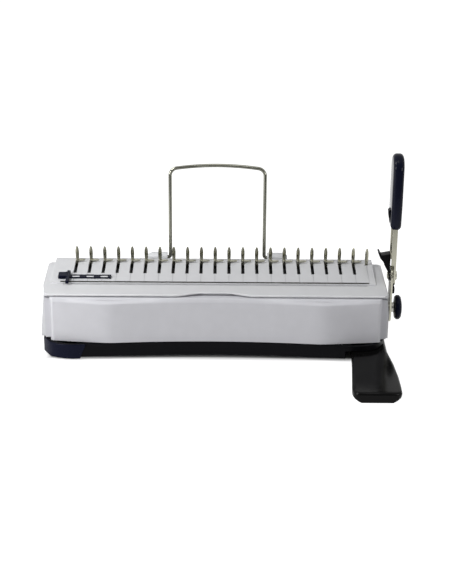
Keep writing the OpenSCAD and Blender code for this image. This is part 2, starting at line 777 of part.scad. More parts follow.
// Thumb latch: a wedge with a raised finger on the inner side of the bar
module latch() color(black) placed() translate([0, -shaft_y, bolt_z]) difference() {
    union() {
        translate([0, latch_w / 2, 0]) rotate([90, 0, 0]) linear_extrude(latch_w) polygon([
            [strip_in - 0.9, 5.2], [strip_in - 3, 5.2], [strip_in - 6.6, 12], [strip_in - 7.9, 15.6],
            [strip_in - 11.3, 19.8], [strip_in - 13.8, 26], [strip_in - 12.4, 26.8],
            [strip_in - 10.2, 22.8], [strip_in - 0.9, 24.5]]);
        rod_x(strip_in - 1.8, 1.3, 5.6);
    }
    rod_x(strip_in - 6, 6, 3.1);
}

module latch_spring() color(steel) placed() translate([0, -shaft_y, bolt_z]) difference() {
    rod_x(strip_in - 0.45, 0.4, 4.6);
    rod_x(strip_in - 1, 2, 3.6);
}

module knob() color(navy) placed() translate([0, -shaft_y, shaft_z]) rotate([90, 0, 90]) difference() {
    rotate_extrude($fn = fine) polygon([
        [0, knob_in], [5.5, knob_in], [5.5, knob_in + 0.6], [knob_d / 2 - 1.6, knob_in + 1.2],
        [knob_d / 2, knob_in + 3], [knob_d / 2, knob_in + 5.4], [knob_d / 2 - 1.8, knob_in + 7.2],
        [knob_d / 2 - 6, knob_in + knob_t - 0.5], [0, knob_in + knob_t]]);
    translate([0, 0, knob_in - 1]) cylinder(h = 5.2, r = shaft_d / 2 + run_fit, $fn = fine);
}

// ---- Chip drawer ----

module chip_tray() color(grey) placed() {
    xs = steps(-tray_half, tray_half, 30);
    inner = steps(-tray_half + tray_wall, tray_half - tray_wall, 30);
    difference() {
        translate([0, 0, base_top + 0.3]) linear_extrude(tray_top - base_top - 0.3)
            polygon(concat([for (x = xs) [x, -bow(x) + panel_t + 0.25]], [[tray_half, tray_back], [-tray_half, tray_back]]));
        translate([0, 0, base_top + 0.3 + tray_wall]) linear_extrude(tray_top)
            polygon(concat([for (x = inner) [x, -bow(x) + panel_t + tray_wall + 0.25]],
                [[tray_half - tray_wall, tray_back - tray_wall], [-tray_half + tray_wall, tray_back - tray_wall]]));
    }
}

function panel_section(x) = let (o = -bow(x), edge = max(o + 1.2, -front_y + 1.3)) [
    [x, o, panel_low], [x, o + panel_t, panel_low], [x, o + panel_t, panel_high - bevel_h],
    [x, edge + panel_t, panel_high], [x, edge, panel_high], [x, o, panel_high - bevel_h]];

module front_panel() color(silver) placed() {
    loft([for (x = steps(-panel_half, panel_half, 48)) panel_section(x)]);
}

// ---- Edge guide ----

rail_x = -row_half - 4;
rail_len = 3 * hole_pitch - 1.2;
rail_stem = 34.7;
guide_travel = 2 * hole_pitch;
module index_rail() color(navy) placed() in_deck() {
    difference() {
        box([rail_x, -rail_stem - 4.9, 0.3], [rail_x + rail_len, -rail_stem + 1.5, 1.7]);
        for (i = [0 : 2]) {
            box([rail_x + 2.6 + i * hole_pitch, -rail_stem - 3.9, -eps], [rail_x + 10 + i * hole_pitch, -rail_stem - 1.3, 3]);
        }
    }
    // stem through the deck, with a wider foot below it
    box([rail_x + 2, -rail_stem - 0.5, -deck_t - 0.4], [rail_x + 10, -rail_stem + 0.5, 0.4]);
    box([rail_x + 2, -rail_stem - 2.2, -deck_t - 1.4], [rail_x + 10, -rail_stem + 2.2, -deck_t - 0.4]);
}

module edge_guide() color(navy) placed() in_deck() {
    // finger knob, then the fence that crosses the paper slot
    box([rail_x - 11.6, -41, 0.3], [rail_x - 2.4, -31.5, 3.8]);
    box([rail_x - 3.4, -51.5, 0.3], [rail_x, -27, 3.4]);
}

// ---- Paper support ----

// Arc of wire as [x, z, direction] points, bending to the left or to the right
function turn_left(cx, cz, radius, from, to, n) = [for (a = steps(from, to, n)) [cx + radius * sin(a), cz - radius * cos(a), a]];
function turn_right(cx, cz, radius, from, to, n) = [for (a = steps(from, to, n)) [cx - radius * sin(a), cz + radius * cos(a), a]];

module wire_support() color(steel) placed() translate([wire_x, wire_y, wire_z]) rotate([-wire_lean, 0, 0]) {
    half = wire_w / 2;
    foot = half + wire_bend;
    arch_r = (half - wire_corner * (1 - sin(arch_a))) / sin(arch_a);
    leg_top = wire_h - arch_r * (1 - cos(arch_a)) - wire_corner * cos(arch_a);
    arch = turn_right(0, wire_h - arch_r, arch_r, arch_a, -arch_a, 12);
    // pivot end in the hump, bend, leg and corner on the left, the top arch, then the same to the right
    path = concat([[-foot - 14, 0, 0]], turn_left(-foot, wire_bend, wire_bend, 0, 90, 8),
        turn_right(-half + wire_corner, leg_top, wire_corner, 90, arch_a, 10),
        [for (i = [1 : len(arch) - 2]) arch[i]],
        turn_right(half - wire_corner, leg_top, wire_corner, -arch_a, -90, 10),
        turn_left(foot, wire_bend, wire_bend, -90, 0, 8), [[foot + 14, 0, 0]]);
    loft([for (p = path) [for (a = [0 : 15 : 345])
        [p[0] - sin(p[2]) * wire_r * cos(a), -wire_r * sin(a), p[1] + cos(p[2]) * wire_r * cos(a)]]]);
}

// ---- Stabiliser foot ----

module foot_plan(inset) {
    root = foot_root_w / 2 - inset;
    end = foot_end_w / 2 - inset;
    polygon([
        [foot_x - root, tongue_back], [foot_x - root, -front_y - 4],
        [foot_x - root - 1.4, -foot_front + 72], [foot_x - end, -foot_front + 14],
        [foot_x - end + 0.3, -foot_front + 8], [foot_x - end + 2.2, -foot_front + 2.6],
        [foot_x - end + 6, -foot_front + inset], [foot_x + end - 5, -foot_front + inset],
        [foot_x + end - 1.6, -foot_front + 2.2], [foot_x + end - 0.3, -foot_front + 6],
        [foot_x + end, -foot_front + 20], [foot_x + end - 0.3, -foot_front + 39],
        [foot_x + end - 2, -foot_front + 66], [foot_x + root, -front_y - 4], [foot_x + root, tongue_back]]);
}

module foot_arm() color(black) placed() difference() {
    intersection() {
        linear_extrude(foot_h) foot_plan(0);
        // lower edges cut back to both sides
        translate([0, 0, 0]) rotate([90, 0, 0]) linear_extrude(2 * foot_front, center = true) polygon([
            [foot_x - foot_end_w / 2, foot_h], [foot_x - foot_end_w / 2, 4.6], [foot_x - foot_end_w / 2 + 8.5, 0.6],
            [foot_x + foot_end_w / 2 - 9, 0.6], [foot_x + foot_end_w / 2, 6.2], [foot_x + foot_end_w / 2, foot_h]]);
    }
    // thin-walled underneath
    translate([0, 0, -eps]) linear_extrude(foot_h - 2.5 + eps) offset_foot();
}

module offset_foot() {
    square_x = foot_root_w / 2 - 7;
    translate([foot_x - square_x, -foot_front + 6]) square([2 * square_x, foot_front - 10 + tongue_back]);
}

module foot_pad() color(black) placed() {
    box([foot_x - foot_root_w / 2 + 7.5, -foot_front + 12, 0], [foot_x + foot_root_w / 2 - 7.5, -foot_front + 30, foot_h - 2.5]);
}

base_pan();
corner_block();
cover();
hook_deck();
prong_strip();
prongs();
frame_left();
frame_right();
die_plate();
guide_plate();
paper_stop();
bush_left();
bush_right();
index_rail();
tie_bar();
return_springs();
rubber_feet();
frame_screws();
cover_screws();
punch_beam();
yoke_plates();
punch_pins();
hook_plate();
hooks();
rack_arms();
main_shaft();
eccentrics();
hook_cranks();
crank_strip();
fold_stop();
cross_bolt();
lever_arm();
grip_shell();
grip_inlay();
arm_clip();
latch();
latch_spring();
knob();
chip_tray();
front_panel();
edge_guide();
wire_support();
foot_arm();
foot_pad();
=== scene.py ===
# %% [markdown]
# # A comb punch and binder
# A desk machine that punches a row of holes along a sheet and then holds a plastic comb open.
# The frame comes in as finished solids, one object for each part, grouped in bodies that move
# together. This lesson gives the solids their finish and rebuilds the pieces that need a softer form.

# %% Load the frame
import json
import math
import bmesh
import bpy
from mathutils import Matrix, Vector


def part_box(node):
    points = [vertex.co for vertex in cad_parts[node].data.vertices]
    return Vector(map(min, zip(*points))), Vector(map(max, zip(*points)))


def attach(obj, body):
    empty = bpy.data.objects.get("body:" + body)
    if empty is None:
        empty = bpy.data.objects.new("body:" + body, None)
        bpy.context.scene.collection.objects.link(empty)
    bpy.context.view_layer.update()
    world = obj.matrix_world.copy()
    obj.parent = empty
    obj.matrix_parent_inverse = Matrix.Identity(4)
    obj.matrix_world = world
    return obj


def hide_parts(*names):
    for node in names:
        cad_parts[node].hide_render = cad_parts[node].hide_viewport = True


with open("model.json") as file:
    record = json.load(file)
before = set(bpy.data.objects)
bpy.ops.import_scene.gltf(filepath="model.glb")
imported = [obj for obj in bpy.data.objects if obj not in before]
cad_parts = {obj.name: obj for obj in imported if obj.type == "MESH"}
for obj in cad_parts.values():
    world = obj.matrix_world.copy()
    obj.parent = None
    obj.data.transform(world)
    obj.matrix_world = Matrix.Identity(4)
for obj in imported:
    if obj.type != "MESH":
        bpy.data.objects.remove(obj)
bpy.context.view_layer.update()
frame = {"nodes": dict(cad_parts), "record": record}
nodes = frame["nodes"]

# %% [markdown]
# ## The two frames
# The row frame has its origin in the middle of the footprint. The machine is easier to describe from
# its own hole row: X = 0 is the middle hole and Y = 0 the row of prongs. One helper turns machine
# millimetres into scene metres, so every size below can be read off the machine with a ruler.

# %% Machine millimetres to scene metres
FRAME_X, FRAME_Y = 7.4, -49.25


def at(x, y, z):
    return Vector(((x - FRAME_X) / 1000, (y - FRAME_Y) / 1000, z / 1000))


print("prong row lies at", [round(v, 4) for v in at(0, 0, 74)])

# %% [markdown]
# ## The camera
# A product view is taken with a long lens from about a metre and a half away, so that the machine's
# front stays nearly square to us. The camera looks down by 22.5 degrees and is rolled a hair to the
# side. Its axes are written as vectors, because that shows more than three angles do.

# %% Camera
LOOK_DOWN, ROLL = math.radians(22.5), math.radians(0.4)
FOCAL_PIXELS, LONG_SIDE_PIXELS, SENSOR = 1450, 584, 36
right, up = Vector((1, 0, 0)), Vector((0, math.sin(LOOK_DOWN), math.cos(LOOK_DOWN)))
cam_x = right * math.cos(ROLL) + up * math.sin(ROLL)
cam_y = up * math.cos(ROLL) - right * math.sin(ROLL)
cam_z = cam_x.cross(cam_y)
camera_data = bpy.data.cameras.new("camera")
camera_data.lens = FOCAL_PIXELS * SENSOR / LONG_SIDE_PIXELS
camera_data.clip_end = 20
camera = bpy.data.objects.new("camera", camera_data)
bpy.context.scene.collection.objects.link(camera)
turn = Matrix((cam_x, cam_y, cam_z)).transposed().to_4x4()
camera.matrix_world = Matrix.Translation(at(11.4, -1399.8, 620.3)) @ turn
bpy.context.scene.camera = camera
bpy.context.scene.view_settings.view_transform = "Standard"
print("lens", round(camera_data.lens, 2), "mm")

# %% [markdown]
# ## Two node helpers
# A look is a small graph of nodes. Two steps come back in most of them: arithmetic on one or two
# values, and a value that is stretched from one range to another and held at its ends.


# %% Node helpers
def maths(tree, operation, *values):
    node = tree.nodes.new("ShaderNodeMath")
    node.operation = operation
    for socket, value in zip(node.inputs, values):
        if isinstance(value, float):
            socket.default_value = value
        else:
            tree.links.new(value, socket)
    return node.outputs[0]


def remap(tree, value, low, high, to_low=0.0, to_high=1.0):
    node = tree.nodes.new("ShaderNodeMapRange")
    limits = {"From Min": low, "From Max": high, "To Min": to_low, "To Max": to_high}
    for socket, limit in limits.items():
        node.inputs[socket].default_value = limit
    tree.links.new(value, node.inputs["Value"])
    return node.outputs["Result"]


print("node helpers ready")

# %% [markdown]
# ## Materials
# Most of the machine is moulded plastic with a fine satin skin, so its shine is spread wide and its
# colour is plain. The metal pieces are plated wire and strip. Every finish is one principled shader.
# A fine noise stirs its roughness and bump and a coarse one its colour, because no moulded or plated
# skin is perfectly even.

# %% Material helper
GRAIN_SCALE, CLOUD_SCALE, GRAIN_DEPTH = 900.0, 75.0, 0.0001


def noise_on(tree, scale):
    place = tree.nodes.new("ShaderNodeTexCoord")
    noise = tree.nodes.new("ShaderNodeTexNoise")
    noise.inputs["Scale"].default_value = scale
    tree.links.new(place.outputs["Object"], noise.inputs["Vector"])
    return noise


def finish(name, color, rough, metal=0.0, grain=0.0, spread=0.06, tint=0.05, shine_level=0.5):
    mat = bpy.data.materials.new(name)
    mat.use_nodes = True
    tree = mat.node_tree
    shader = tree.nodes["Principled BSDF"]
    shader.inputs["Metallic"].default_value = metal
    shader.inputs["Specular IOR Level"].default_value = shine_level
    noise = noise_on(tree, GRAIN_SCALE)
    noise.inputs["Detail"].default_value = 3
    shine = remap(tree, noise.outputs["Fac"], 0.0, 1.0, rough - spread, rough + spread)
    tree.links.new(shine, shader.inputs["Roughness"])
    ramp = tree.nodes.new("ShaderNodeValToRGB")
    dark, light = ramp.color_ramp.elements
    dark.position, light.position = 0.3, 0.7
    dark.color = (*[c * (1 - tint) for c in color], 1)
    light.color = (*[min(1, c * (1 + tint)) for c in color], 1)
    tree.links.new(noise_on(tree, CLOUD_SCALE).outputs["Fac"], ramp.inputs["Fac"])
    tree.links.new(ramp.outputs["Color"], shader.inputs["Base Color"])
    if grain:
        bump = tree.nodes.new("ShaderNodeBump")
        bump.inputs["Strength"].default_value = grain
        bump.inputs["Distance"].default_value = GRAIN_DEPTH
        tree.links.new(noise.outputs["Fac"], bump.inputs["Height"])
        tree.links.new(bump.outputs["Normal"], shader.inputs["Normal"])
    return mat


print("grain of", round(1000 / GRAIN_SCALE, 2), "mm")

# %% [markdown]
# ### The set of finishes
# The silver is a pigment in the plastic: pale grey with a cool cast. The dark pieces aren't pure
# black: the corner block, grip and knob are a very deep blue, and the base and foot a neutral
# near-black. Plated metal reads by what it mirrors, so its own colour stays fairly dark.

# %% Finishes
DEEP_BLUE = (0.004, 0.005, 0.015)
SILVER = finish("satin_silver", (0.60, 0.605, 0.62), 0.42, grain=0.10, tint=0.02, shine_level=0.4)
PANEL = finish("gloss_silver", (0.54, 0.54, 0.57), 0.34, grain=0.05, tint=0.02)
NAVY = finish("deep_blue", DEEP_BLUE, 0.26, grain=0.05, shine_level=0.06)
GRIP_BLUE = finish("gloss_deep_blue", DEEP_BLUE, 0.12, grain=0.02, spread=0.03, shine_level=0.10)
BLACK = finish("satin_black", (0.003, 0.003, 0.004), 0.36, grain=0.06, shine_level=0.05)
GLOSS = finish("gloss_black", (0.003, 0.003, 0.003), 0.16, grain=0.02, spread=0.02, shine_level=0.08)
GREY = finish("mid_grey", (0.36, 0.36, 0.36), 0.5, grain=0.1)
RUBBER = finish("rubber", (0.012, 0.012, 0.012), 0.75, grain=0.2, shine_level=0.2)
STEEL = finish("plain_steel", (0.40, 0.39, 0.36), 0.32, metal=1.0)
BRIGHT = finish("plated_steel", (0.40, 0.39, 0.32), 0.24, metal=1.0)
WIRE = finish("plated_wire", (0.25, 0.25, 0.21), 0.12, metal=1.0, spread=0.01, tint=0.01)
PRONG = finish("plated_prong", (0.26, 0.255, 0.20), 0.22, metal=1.0, spread=0.02, tint=0.02)
# dark steel; its dark colour on the hook plate stands for the shade seen down the slots: painted shade
DARK_STEEL_SHADE = finish("dark_steel_painted_shade", (0.03, 0.03, 0.034), 0.45, shine_level=0.2)
BRASS = finish("brass", (0.62, 0.44, 0.18), 0.3, metal=1.0)
print("finishes from", SILVER.name, "to", BRASS.name)

# %% [markdown]
# ### Dressing the solids
# The record names a slot for each node, and each slot has one finish. A few pieces have a finish of
# their own, which their rounded copy gets further down.

# %% Dress the solids
SLOT_FINISH = {
    "plastic_silver": SILVER, "deck_metal": SILVER, "plastic_navy": NAVY, "plastic_black": BLACK,
    "plastic_grey": GREY, "rubber_black": RUBBER, "steel_plain": STEEL, "steel_bright": BRIGHT,
    "steel_dark": DARK_STEEL_SHADE, "bush_brass": BRASS}
OWN_FINISH = {
    "front_panel": PANEL, "foot_arm": GLOSS, "wire_support": WIRE, "grip_shell": GRIP_BLUE,
    "prongs": PRONG}
record = frame["record"]
SLOT_OF = {part["node"]: part["material_slot"] for part in record["subparts"]}
BODY_OF = {node: body for body, parts in record["behaviour"]["bodies"].items() for node in parts}
for name, slot_name in SLOT_OF.items():
    nodes[name].data.materials.clear()
    nodes[name].data.materials.append(SLOT_FINISH[slot_name])
print("nodes dressed", len(SLOT_OF))

# %% [markdown]
# ## Softer edges
# Exact solids have knife edges, which catch no light. Moulded plastic always has a small radius and
# cut metal a tiny one. Each visible solid is copied, its loose triangles are merged and the flat ones
# dissolved into whole faces, and a bevel modifier rounds what is still sharp. The copy then stands
# for the solid, which stays below for the motion checks, hidden.


# %% Helpers for the copies
def show(piece, node):
    piece.data.materials.clear()
    piece.data.materials.append(OWN_FINISH.get(node) or SLOT_FINISH[SLOT_OF[node]])
    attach(piece, BODY_OF[node])
    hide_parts(node)
    return piece


def piece_from(bm, name, sharp=38):
    mesh = bpy.data.meshes.new(name)
    bm.to_mesh(mesh)
    bm.free()
    for face in mesh.polygons:
        face.use_smooth = True
    mesh.set_sharp_from_angle(angle=math.radians(sharp))
    piece = bpy.data.objects.new(name, mesh)
    bpy.context.scene.collection.objects.link(piece)
    return piece


def merged(node):
    bm = bmesh.new()
    bm.from_mesh(nodes[node].data)
    bmesh.ops.remove_doubles(bm, verts=bm.verts, dist=2e-6)
    flat = math.radians(0.8)
    bmesh.ops.dissolve_limit(bm, angle_limit=flat, verts=bm.verts, edges=bm.edges)
    return bm


def soften(piece, width, segments=3, angle=38, clamp=False):
    bevel = piece.modifiers.new("edge", "BEVEL")
    bevel.width = width / 1000
    bevel.segments = segments
    bevel.limit_method = "ANGLE"
    bevel.angle_limit = math.radians(angle)
    bevel.harden_normals = True
    bevel.use_clamp_overlap = clamp


def blend(value, start, end):
    share = min(1.0, max(0.0, (value - start) / (end - start)))
    return share * share * (3 - 2 * share)


print("helpers for the copies ready")

# %% [markdown]
# ### The lip of the cover
# The cover ends at the front in a thin lip over the drawer. The lip is cut into narrow columns round
# its middle, its edge is drawn back a little, and further where a finger reaches under it to pull the
# drawer. A soft step, flat at both its ends, keeps the notch free of corners.

# %% Shape the lip
LIP_Z, LIP_FRONT, LIP_ROOT = 0.0612, at(0, -74.5, 0).y, at(0, -64.5, 0).y
LIP_BACK, LIP_RISE = 0.0025, 0.2
NOTCH_BACK, NOTCH_HALF, NOTCH_CORE, NOTCH_STEPS = 0.0042, 0.040, 0.016, 8
FLAT_HALF, FLAT_LIMIT, FLAT_BEHIND, FLAT_Z = 0.0388, 0.06555, 0.005, 0.0645


def cut_columns(form, middle):
    for step in range(-NOTCH_STEPS, NOTCH_STEPS + 1):
        everything = form.verts[:] + form.edges[:] + form.faces[:]
        bmesh.ops.bisect_plane(
            form, geom=everything, dist=1e-6, plane_no=(1, 0, 0),
            plane_co=(middle + step * NOTCH_HALF / NOTCH_STEPS, 0, 0))


def shape_lip(form):
    middle = at(0, 0, 0).x
    cut_columns(form, middle)
    for v in form.verts:
        if v.co.y > LIP_ROOT or v.co.z < LIP_Z:
            continue
        off = abs(v.co.x - middle)
        # the underside above the notch is levelled, so that the lip keeps its thickness there
        if off < FLAT_HALF and (v.co.z < FLAT_LIMIT or v.co.y > LIP_FRONT + FLAT_BEHIND):
            v.co.z = FLAT_Z
        reach = LIP_BACK + NOTCH_BACK * blend(off, NOTCH_HALF, NOTCH_CORE)
        back = reach * blend(v.co.y, LIP_ROOT, LIP_FRONT + 0.003)
        v.co.y += back
        v.co.z += back * LIP_RISE


print("lip runs", round(1000 * (LIP_ROOT - LIP_FRONT), 1), "mm forward of its root")

# %% [markdown]
# ### The ends of cover, base and deck
# The cover's left end wall leans in a little towards its top, and the lip's corner more. The dark
# corner block of the base stops short of the drawer, and the deck plate reaches over the rims of its
# seat at both ends. Each of these is one soft shift of the points near an end.

# %% Shape the ends
WALL_X, CORNER_Y = at(-160, 0, 0).x, at(0, -66, 0).y
LEAN_IN, CORNER_IN, WALL_OUT = 0.0012, 0.0031, 0.0122
BLOCK_IN, DECK_LEFT_OUT, DECK_RIGHT_OUT = 0.005, 0.0052, 0.0025


def lean_end(form):
    for v in form.verts:
        x, y, z = v.co
        lean = LEAN_IN * blend(z, 0.02, 0.06)
        if z > LIP_Z:
            corner = blend(y, CORNER_Y + 0.012, CORNER_Y) * blend(x, WALL_X, WALL_X - 0.008)
            v.co.x += blend(x, WALL_X + 0.01, WALL_X) * (lean + CORNER_IN * corner)
        else:
            v.co.x += blend(x, WALL_X - WALL_OUT + 0.001, WALL_X - WALL_OUT) * lean


def shorten_block(form):
    end = max(v.co.x for v in form.verts)
    for v in form.verts:
        v.co.x -= BLOCK_IN * blend(v.co.x, end - 0.02, end - 0.007)


def widen_deck(form):
    left, right = min(v.co.x for v in form.verts), max(v.co.x for v in form.verts)
    for end, reach in ((left, -DECK_LEFT_OUT), (right, DECK_RIGHT_OUT)):
        tip = [v for v in form.verts if abs(v.co.x - end) < 1e-5]
        bmesh.ops.translate(form, vec=(reach, 0, 0), verts=tip)


print("deck reaches out", 1000 * DECK_LEFT_OUT, "and", 1000 * DECK_RIGHT_OUT, "mm")

# %% [markdown]
# ### One copy for each visible solid
# The widths are the radii in millimetres that such pieces have: most for mouldings, least for strip.
# The wire is round already. The cover's bevel is held back where its faces are narrow, so that it
# never grows into the moving parts below.

# %% Copies with rounded edges
EDGE = {
    "cover": 0.7, "base_pan": 0.5, "corner_block": 0.8, "hook_deck": 0.2, "prong_strip": 0.15,
    "hook_plate": 0.2, "hooks": 0.35, "edge_guide": 0.6, "index_rail": 0.25, "crank_strip": 0.25,
    "lever_arm": 0.3, "fold_stop": 0.5, "cross_bolt": 0.3, "arm_clip": 0.4, "latch": 0.7,
    "grip_inlay": 0.12, "chip_tray": 0.3, "knob": 0.3, "wire_support": 0}
RESHAPE = {
    "cover": (shape_lip, lean_end), "corner_block": (shorten_block,), "hook_deck": (widen_deck,)}
for name, width in EDGE.items():
    form = merged(name)
    for change in RESHAPE.get(name, ()):
        change(form)
    copy = piece_from(form, name + "_finished")
    if width:
        soften(copy, width, clamp=name == "cover")
    show(copy, name)
print("softened", len(EDGE))

# %% [markdown]
# ## The prongs
# The comb is threaded over 22 leaf-shaped prongs. Each is stamped with a ridge down its middle, so
# that its left flank catches the light while its right flank stays dark. One prong is a stack of
# four-cornered rings, bridged to a closed skin and capped at both ends; the row is made by repeating
# it at the pitch. The last prong stands by itself, nearer to the front and a little taller.

# %% Prongs
PITCH, HOLES, DECK_Z, DECK_SLOPE = 14.2875, 21, 74.0, math.radians(5.5)
ROW_HALF = PITCH * (HOLES - 1) / 2
ROW_Y, RIDGE_Y = 2.0, 1.1
LAST_X, LAST_Y, LAST_STRETCH = ROW_HALF + PITCH - 1, -5.0, 1.169
# height, half width and half depth of each ring
LEAF = [(-3.0, 1.2, 1.0), (1.0, 1.5, 1.1), (4.0, 1.75, 1.3), (8.0, 1.85, 1.5),
        (11.0, 1.8, 1.5), (13.5, 1.45, 1.2), (15.2, 0.9, 0.7), (16.0, 0.3, 0.3)]


def on_deck(x, y, z):
    return at(x, y * math.cos(DECK_SLOPE) - z * math.sin(DECK_SLOPE),
              DECK_Z + y * math.sin(DECK_SLOPE) + z * math.cos(DECK_SLOPE))


def add_prong(bm, x, y, stretch):
    rings = []
    for height, half_w, half_d in LEAF:
        z = height * stretch if height > 0 else height
        corners = [(-half_w, 0), (0, -half_d), (half_w, 0), (0, half_d)]
        ring = [bm.verts.new(on_deck(x + dx, y + RIDGE_Y + dy, z)) for dx, dy in corners]
        rings.append([bm.edges.new((ring[k], ring[(k + 1) % 4])) for k in range(4)])
    for low, high in zip(rings, rings[1:]):
        bmesh.ops.bridge_loops(bm, edges=low + high)
    for end in (rings[0], rings[-1]):
        bmesh.ops.contextual_create(bm, geom=end)


bm = bmesh.new()
for i in range(HOLES):
    add_prong(bm, i * PITCH - ROW_HALF, ROW_Y, 1.0)
add_prong(bm, LAST_X, LAST_Y, LAST_STRETCH)
bmesh.ops.recalc_face_normals(bm, faces=bm.faces)
prongs = show(piece_from(bm, "prongs_finished", sharp=25), "prongs")
print("prong faces", len(prongs.data.polygons))

# %% [markdown]
# ## Guide lines on the deck
# Below every slot a fine line is pressed into the deck and runs down to the paper slot, so that a
# sheet's holes can be lined up by eye. At this scale a shallow V would be lost, so each line is a flat
# skin, painted a shade darker to stand for the shade in the groove, that lies just over the deck. It
# has a front and a back but no thickness.

# %% Guide lines
# painted shade: the line's darker colour stands for the shade in its pressed groove
GROOVE_SHADE = finish("pressed_line_painted_shade", (0.50, 0.505, 0.52), 0.5, tint=0.03, shine_level=0.3)
LINE_HALF, LINE_LIFT, LINE_BACK, LAST_LINE_BACK, LINE_FRONT = 0.22, 0.03, -27.6, -7, -46.6


def add_skin(bm, x, half, back, front, lift):
    corners = [(x - half, front), (x + half, front), (x + half, back), (x - half, back)]
    strip = bm.faces.new([bm.verts.new(on_deck(a, b, lift)) for a, b in corners])
    bmesh.ops.solidify(bm, geom=[strip], thickness=0)


bm = bmesh.new()
for i in range(HOLES):
    add_skin(bm, i * PITCH - ROW_HALF, LINE_HALF, LINE_BACK, LINE_FRONT, LINE_LIFT)
add_skin(bm, LAST_X, LINE_HALF, LAST_LINE_BACK, LINE_FRONT, LINE_LIFT)
bmesh.ops.recalc_face_normals(bm, faces=bm.faces)
lines = piece_from(bm, "guide_lines", sharp=30)
lines.data.materials.append(GROOVE_SHADE)
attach(lines, "machine")
print("guide line faces", len(lines.data.polygons))

# %% [markdown]
# ## The mouth of the paper slot
# Sheets go in through a slot along the deck's front edge. Its mouth is in deep shade and reads as
# one dark line, so a strip of painted shade lies just over the deck there, made like the guide lines.

# %% Slot mouth
# painted shade: the dark strip stands for the shade inside the slot's mouth
SLOT_SHADE = finish("slot_painted_shade", (0.09, 0.09, 0.08), 0.6, tint=0.02, shine_level=0.1)
MOUTH_HALF, MOUTH_BACK, MOUTH_FRONT, MOUTH_LIFT = 155.8, -44.2, -47.0, 0.05
bm = bmesh.new()
add_skin(bm, 0, MOUTH_HALF, MOUTH_BACK, MOUTH_FRONT, MOUTH_LIFT)
bmesh.ops.recalc_face_normals(bm, faces=bm.faces)
mouth = piece_from(bm, "slot_mouth", sharp=30)
mouth.data.materials.append(SLOT_SHADE)
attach(mouth, "machine")
print("slot mouth", round(2 * MOUTH_HALF, 1), "mm")

# %% [markdown]
# ## Marks in the index rail
# The rail of the edge guide has three windows. A pale strip lies in each, level with the rail's top,
# and the user counts them to set the margin. They are small bevelled tiles, made from one cube each.

# %% Index marks
WINDOWS, WINDOW_X, RAIL_MID, RAIL_TOP = 3, 2.3 - ROW_HALF, -37.3, 1.2
TILE = (0.0072, 0.0024, 0.0012)


def add_block(bm, middle, size, turn=Matrix.Identity(4)):
    corners = bmesh.ops.create_cube(bm, size=1.0)["verts"]
    place = Matrix.Translation(middle) @ turn @ Matrix.Diagonal((*size, 1))
    bmesh.ops.transform(bm, verts=corners, matrix=place)


bm = bmesh.new()
for i in range(WINDOWS):
    middle = on_deck(WINDOW_X + i * PITCH, RAIL_MID, RAIL_TOP)
    add_block(bm, middle, TILE, Matrix.Rotation(DECK_SLOPE, 4, "X"))
marks = piece_from(bm, "index_marks", sharp=30)
soften(marks, 0.2, segments=2)
marks.data.materials.append(SILVER)
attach(marks, "guide")
print("index marks", len(marks.data.polygons) // 6)

# %% [markdown]
# ## The front panel
# The front of the chip drawer is one smooth moulding: hollow in the middle, swelling forward at two
# soft bends, then falling back to both ends. A band along its top leans back and catches the light.
# Its depth is a curve along the machine, and its profile a closed chain of points that follows it.

# %% Form of the front panel
PANEL_HALF, BEND_X, PANEL_MID, BOW_OUT, FACET_BACK = 166.675, 106.0, 74.7, 5.7, 6.0
PANEL_LOW, PANEL_HIGH, BAND_H, PANEL_T = 17.4, 63.7, 3.9, 3.0
EDGE_Y, END_REACH, END_TURN, BEND_SOFT = -73.2, 2.4, 0.55, 9.0
TOP_DEEP = 3 * PANEL_T


def panel_face(x):
    reach = min(abs(x), PANEL_HALF)
    if reach < BEND_X:
        return -(PANEL_MID + BOW_OUT * (reach / BEND_X) ** 2)
    fall = ((reach - BEND_X) / (PANEL_HALF - BEND_X)) ** 1.15
    return -(PANEL_MID + BOW_OUT - FACET_BACK * fall)


def smooth_face(x):
    # nine neighbours, weighted 1 2 3 4 5 4 3 2 1
    return sum(panel_face(x + BEND_SOFT * k / 4) * (5 - abs(k)) for k in range(-4, 5)) / 25


def panel_profile(x):
    turned = END_TURN * max(0.0, abs(x) - (PANEL_HALF - END_REACH))
    face = max(smooth_face(x), panel_face(x)) + turned
    top = max(face + 1.2, EDGE_Y)
    band = PANEL_HIGH - BAND_H
    lean = top - face
    back = face - turned + PANEL_T
    return [
        (back, PANEL_LOW + 0.3), (face + 0.5, PANEL_LOW), (face + 0.12, PANEL_LOW + 0.15),
        (face, PANEL_LOW + 0.6), (face, 30), (face, 44), (face, band - 2.2),
        (face + 0.02, band - 0.9), (face + 0.036 * lean, band - 0.2),
        (face + 0.16 * lean, band + 0.6), (face + 0.5 * lean, band + BAND_H * 0.5),
        (face + 0.93 * lean, PANEL_HIGH - 0.5), (top + 0.15, PANEL_HIGH - 0.1),
        (top + 0.6, PANEL_HIGH), (top + TOP_DEEP, PANEL_HIGH),
        (top + TOP_DEEP, PANEL_HIGH - 1.2), (back + 0.2, PANEL_HIGH - 1.5), (back, band)]


print("panel is hollow by", BOW_OUT, "mm")

# %% [markdown]
# ### Building the panel
# The first column of points becomes a closed ring. It is extruded along the machine in fine steps,
# finer at both ends, and each new column is set to the form that the panel has there. Each end is
# turned back as a short wall, which ends in a wider flange behind the gap to the cover.

